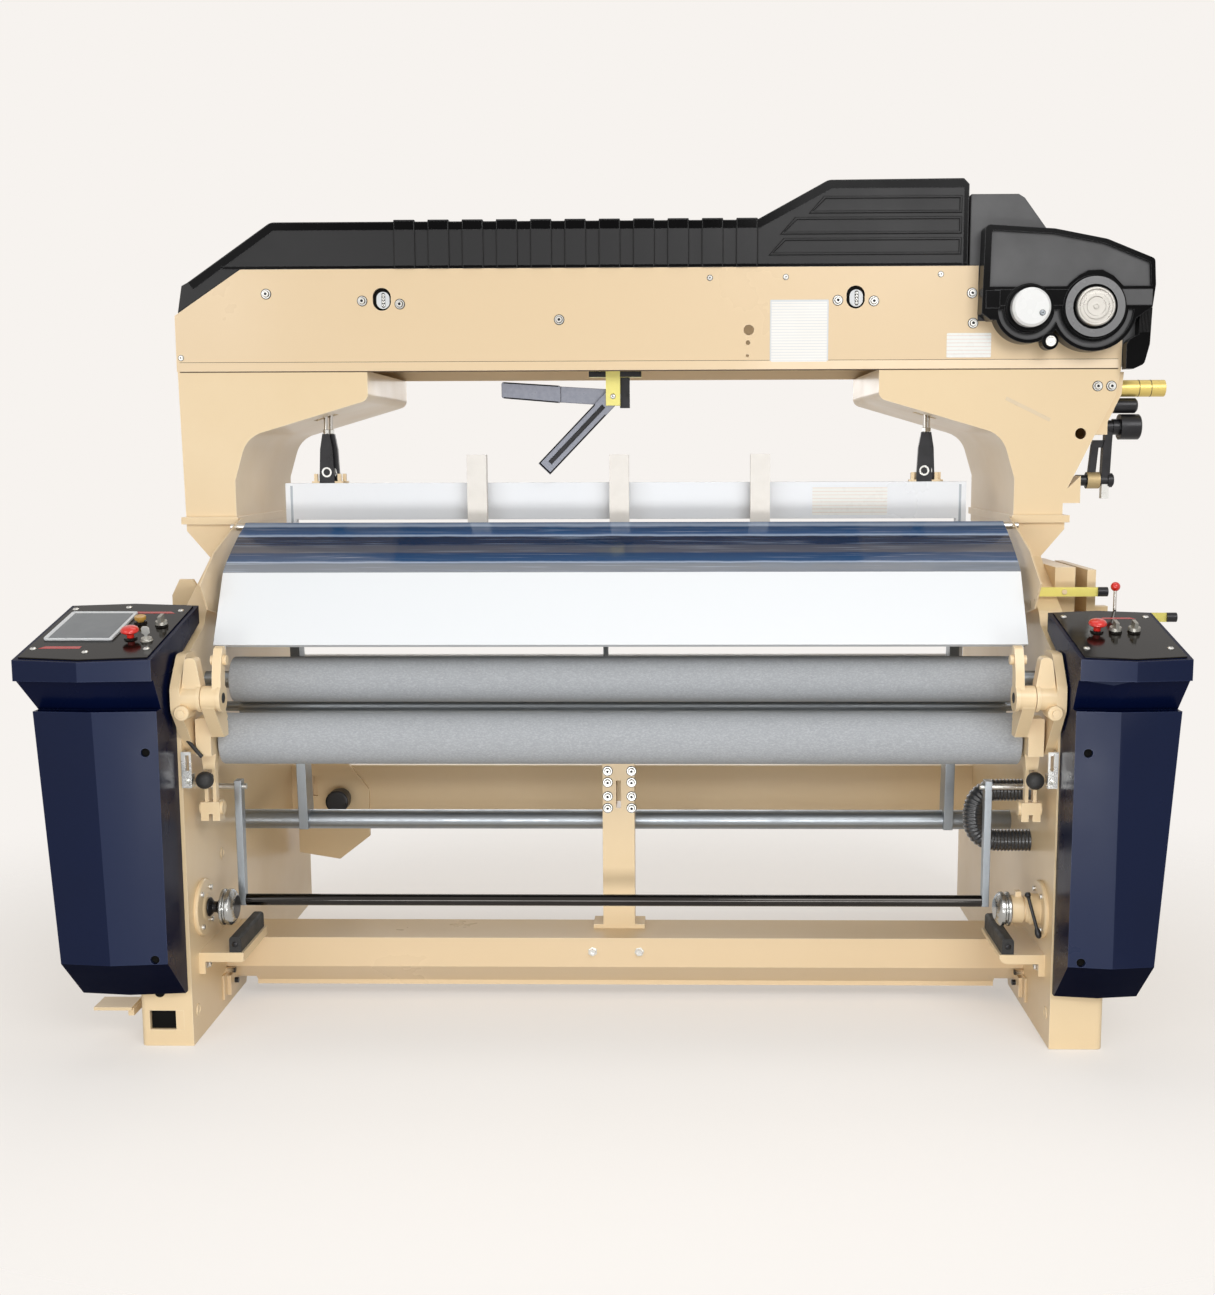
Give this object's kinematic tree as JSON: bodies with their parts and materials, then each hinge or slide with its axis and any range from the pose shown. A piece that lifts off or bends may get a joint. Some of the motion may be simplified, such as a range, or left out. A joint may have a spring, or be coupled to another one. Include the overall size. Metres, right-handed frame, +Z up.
{
  "type": "power loom",
  "caption": "Power loom with two side frames, overhead dobby beam, heald frames lifted by jack levers, cloth take-up rollers, hinged hood and two control consoles.",
  "frame": {"origin": "on the floor, centre of the four floor anchor holes", "axes": "+X along the cloth width towards the dobby, +Y towards the warp side, +Z up"},
  "size_m": [2.675, 1.314, 2.044],
  "materials": {
    "castings_cream": "semi-gloss enamel",
    "beam_tan": "semi-gloss enamel",
    "cover_black": "satin moulded plastic",
    "console_navy": "satin powder coat",
    "panel_grey": "satin",
    "screen": "gloss",
    "roller_cover": "matt fabric rubber",
    "steel": "machined",
    "chrome": "polished",
    "dark_steel": "black oxide",
    "aluminium": "anodised",
    "hood_white": "gloss white",
    "hood_clear": "tinted acrylic",
    "red": "gloss",
    "yellow": "gloss",
    "black_rubber": "matt",
    "brass": "satin"
  },
  "bodies": {
    "frame": {"side_frame_left": "castings_cream", "side_frame_right": "castings_cream", "front_cross_beam": "castings_cream", "rear_cross_beam": "castings_cream", "middle_support": "castings_cream", "gooseneck_left": "beam_tan", "gooseneck_right": "beam_tan", "overhead_beam": "beam_tan", "top_cover": "cover_black", "dobby_front_case": "cover_black", "dobby_rear_case": "cover_black", "guide_rail": "aluminium", "roller_brackets": "castings_cream", "chuck_housings": "castings_cream", "bumpers": "castings_cream", "end_shields": "castings_cream", "panels": "panel_grey", "touch_screen": "screen", "console_left": "console_navy", "console_right": "console_navy", "stay_bracket": "dark_steel", "drive_bearing": "brass", "drive_case": "castings_cream", "suction_hose": "black_rubber", "fasteners": "steel"},
    "hand_disc": {"hand_disc": "steel"},
    "heald_1": {"heald_frame_1": "aluminium", "lift_rods_1": "dark_steel"},
    "heald_2": {"heald_frame_2": "aluminium", "lift_rods_2": "dark_steel"},
    "jack_left_1": {"jack_lever_left_1": "steel"},
    "jack_left_2": {"jack_lever_left_2": "steel"},
    "jack_right_1": {"jack_lever_right_1": "steel"},
    "jack_right_2": {"jack_lever_right_2": "steel"},
    "pull_rod_1": {"pull_rod_1": "steel"},
    "pull_rod_2": {"pull_rod_2": "steel"},
    "sley": {"sley": "dark_steel"},
    "take_up_roller": {"take_up_roller": "roller_cover"},
    "guide_roller": {"guide_roller": "steel"},
    "back_rest_roller": {"back_rest_roller": "steel"},
    "press_roller": {"press_roller": "roller_cover"},
    "press_arms": {"press_arms": "castings_cream"},
    "cloth_guide": {"guide_tube": "chrome", "guide_arms": "steel"},
    "chuck_left": {"chuck_left": "steel"},
    "chuck_right": {"chuck_right": "steel"},
    "hood": {"hood_panel": "hood_white", "hood_window": "hood_clear"},
    "emergency_stop_left": {"emergency_stop_left": "red"},
    "emergency_stop_right": {"emergency_stop_right": "red"},
    "start_button": {"start_button": "yellow"},
    "selector_left": {"selector_left": "dark_steel"},
    "selector_right_1": {"selector_right_1": "dark_steel"},
    "selector_right_2": {"selector_right_2": "dark_steel"},
    "stay_arm": {"stay_arm": "dark_steel"},
    "drive_links": {"drive_links": "dark_steel"},
    "release_lever_upper": {"release_lever_upper": "yellow"},
    "release_lever_lower": {"release_lever_lower": "yellow"},
    "ball_lever": {"ball_lever": "red"},
    "pedal": {"pedal": "castings_cream"}
  },
  "joints": [
    {"name": "hand_disc_turn", "type": "hinge", "parent": "frame", "child": "hand_disc", "pos_m": [1.153, -0.145, 1.728], "axis": [0, 1, 0], "continuous": true},
    {"name": "heald_1_lift", "type": "slide", "parent": "frame", "child": "heald_1", "axis": [0, 0, 1], "range_m": [-0.04, 0.04]},
    {"name": "heald_2_lift", "type": "slide", "parent": "frame", "child": "heald_2", "axis": [0, 0, 1], "range_m": [-0.04, 0.04]},
    {"name": "jack_left_1_rock", "type": "hinge", "parent": "frame", "child": "jack_left_1", "pos_m": [-0.875, -0.009, 1.66], "axis": [0, -1, 0], "range_deg": [-23.38, 23.38]},
    {"name": "jack_right_1_rock", "type": "hinge", "parent": "frame", "child": "jack_right_1", "pos_m": [0.675, -0.009, 1.66], "axis": [0, -1, 0], "range_deg": [-23.38, 23.38]},
    {"name": "pull_rod_1_slide", "type": "slide", "parent": "frame", "child": "pull_rod_1", "axis": [-1, 0, 0], "range_m": [-0.037, 0.037]},
    {"name": "jack_left_2_rock", "type": "hinge", "parent": "frame", "child": "jack_left_2", "pos_m": [-0.875, 0.007, 1.66], "axis": [0, -1, 0], "range_deg": [-21.25, 21.25]},
    {"name": "jack_right_2_rock", "type": "hinge", "parent": "frame", "child": "jack_right_2", "pos_m": [0.675, 0.007, 1.66], "axis": [0, -1, 0], "range_deg": [-21.25, 21.25]},
    {"name": "pull_rod_2_slide", "type": "slide", "parent": "frame", "child": "pull_rod_2", "axis": [-1, 0, 0], "range_m": [-0.037, 0.037]},
    {"name": "sley_rock", "type": "hinge", "parent": "frame", "child": "sley", "pos_m": [0, -0.105, 0.43], "axis": [1, 0, 0], "range_deg": [0, 7]},
    {"name": "take_up_turn", "type": "hinge", "parent": "frame", "child": "take_up_roller", "pos_m": [0, -0.37, 0.84], "axis": [1, 0, 0], "continuous": true},
    {"name": "guide_roller_turn", "type": "hinge", "parent": "frame", "child": "guide_roller", "pos_m": [0, -0.325, 0.767], "axis": [1, 0, 0], "continuous": true},
    {"name": "back_rest_turn", "type": "hinge", "parent": "frame", "child": "back_rest_roller", "pos_m": [0, 0.505, 1.01], "axis": [1, 0, 0], "continuous": true},
    {"name": "press_swing", "type": "hinge", "parent": "frame", "child": "press_arms", "pos_m": [0, -0.61, 0.834], "axis": [1, 0, 0], "range_deg": [-20, 10]},
    {"name": "press_roller_turn", "type": "hinge", "parent": "press_arms", "child": "press_roller", "pos_m": [0, -0.465, 0.714], "axis": [1, 0, 0], "continuous": true},
    {"name": "cloth_guide_swing", "type": "hinge", "parent": "frame", "child": "cloth_guide", "pos_m": [0, -0.41, 0.586], "axis": [1, 0, 0], "range_deg": [0, 12]},
    {"name": "chuck_left_turn", "type": "hinge", "parent": "frame", "child": "chuck_left", "pos_m": [-0.95, -0.474, 0.306], "axis": [1, 0, 0], "continuous": true},
    {"name": "chuck_right_turn", "type": "hinge", "parent": "frame", "child": "chuck_right", "pos_m": [0.95, -0.474, 0.306], "axis": [1, 0, 0], "continuous": true},
    {"name": "hood_open", "type": "hinge", "parent": "frame", "child": "hood", "pos_m": [0, -0.163, 1.196], "axis": [-1, 0, 0], "range_deg": [0, 70]},
    {"name": "emergency_stop_left_press", "type": "slide", "parent": "frame", "child": "emergency_stop_left", "axis": [0, 0.2366, -0.9716], "range_m": [0, 0.005], "stiffness_N_per_m": 900},
    {"name": "emergency_stop_right_press", "type": "slide", "parent": "frame", "child": "emergency_stop_right", "axis": [0, 0.2241, -0.9746], "range_m": [0, 0.005], "stiffness_N_per_m": 900},
    {"name": "start_press", "type": "slide", "parent": "frame", "child": "start_button", "axis": [0, 0.2366, -0.9716], "range_m": [0, 0.003], "stiffness_N_per_m": 900},
    {"name": "selector_left_turn", "type": "hinge", "parent": "frame", "child": "selector_left", "pos_m": [-1.049, -0.523, 0.98818], "axis": [0, -0.2366, 0.9716], "range_deg": [-45, 45]},
    {"name": "selector_right_1_turn", "type": "hinge", "parent": "frame", "child": "selector_right_1", "pos_m": [1.121, -0.563, 0.97626], "axis": [0, -0.2241, 0.9746], "range_deg": [-45, 45]},
    {"name": "selector_right_2_turn", "type": "hinge", "parent": "frame", "child": "selector_right_2", "pos_m": [1.163, -0.563, 0.97626], "axis": [0, -0.2241, 0.9746], "range_deg": [-45, 45]},
    {"name": "stay_fold", "type": "hinge", "parent": "frame", "child": "stay_arm", "pos_m": [-0.027, -0.066, 1.521], "axis": [0, 1, 0], "range_deg": [-20, 34]},
    {"name": "drive_links_rock", "type": "hinge", "parent": "frame", "child": "drive_links", "pos_m": [1.27, -0.075, 1.44], "axis": [1, 0, 0], "range_deg": [-15, 15]},
    {"name": "release_upper_turn", "type": "hinge", "parent": "frame", "child": "release_lever_upper", "pos_m": [1.067, -0.315, 1.044], "axis": [0, 1, 0], "range_deg": [0, 12]},
    {"name": "release_lower_turn", "type": "hinge", "parent": "frame", "child": "release_lever_lower", "pos_m": [1.167, -0.315, 0.982], "axis": [0, 1, 0], "range_deg": [-10, 20]},
    {"name": "ball_lever_tilt", "type": "hinge", "parent": "frame", "child": "ball_lever", "pos_m": [1.165, -0.401, 0.97], "axis": [1, 0, 0], "range_deg": [-15, 15]},
    {"name": "pedal_press", "type": "hinge", "parent": "frame", "child": "pedal", "pos_m": [-1.15, -0.425, 0.06], "axis": [1, 0, 0], "range_deg": [0, 14], "stiffness_Nm_per_rad": 12, "springref_deg": -8.59}
  ],
  "couplings": [
    {"joint": "jack_left_1_rock", "follows": "heald_1_lift", "rad_per_m": 10},
    {"joint": "jack_right_1_rock", "follows": "heald_1_lift", "rad_per_m": 10},
    {"joint": "pull_rod_1_slide", "follows": "heald_1_lift", "ratio": 0.9},
    {"joint": "jack_left_2_rock", "follows": "heald_2_lift", "rad_per_m": 9.0909},
    {"joint": "jack_right_2_rock", "follows": "heald_2_lift", "rad_per_m": 9.0909},
    {"joint": "pull_rod_2_slide", "follows": "heald_2_lift", "ratio": 0.81818}
  ]
}
